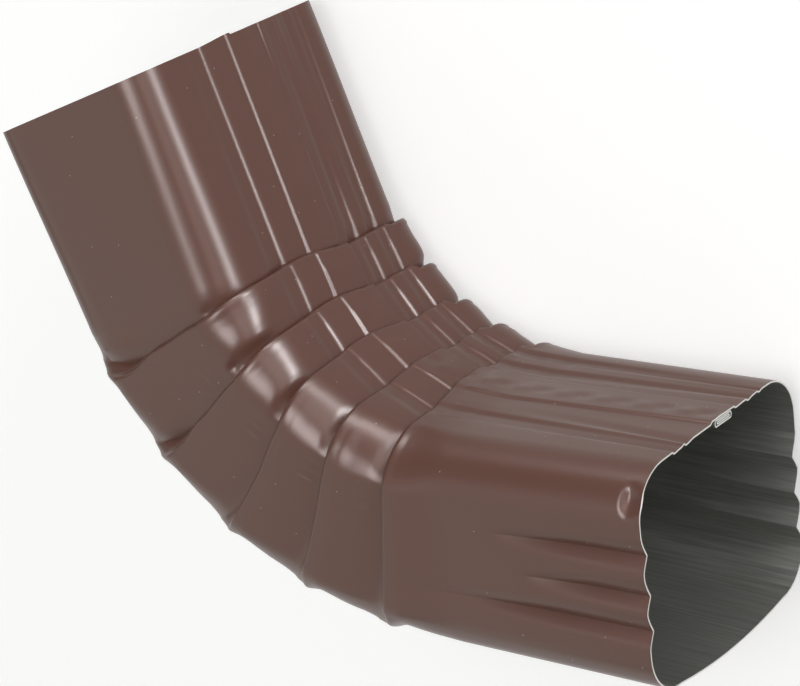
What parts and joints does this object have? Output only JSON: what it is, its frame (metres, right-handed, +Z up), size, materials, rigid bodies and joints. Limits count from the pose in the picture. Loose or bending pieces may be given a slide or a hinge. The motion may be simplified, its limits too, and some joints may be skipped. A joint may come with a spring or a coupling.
{
  "type": "downspout elbow",
  "caption": "Folded sheet metal downspout elbow of rounded rectangular section, turning rainwater out through lapped crimps.",
  "frame": {"origin": "centre of the bounding box in plan, on the surface that the elbow lies on", "axes": "+X is the flow at the outlet; +Y points from the heel, the outside of the bend, to the throat; +Z is up, across the width of the pipe"},
  "size_m": [0.203, 0.1572, 0.0858],
  "materials": {
    "painted_aluminium": "brown baked enamel outside, grey wash coat inside"
  },
  "bodies": {
    "root": {"elbow": "painted_aluminium"}
  },
  "joints": []
}
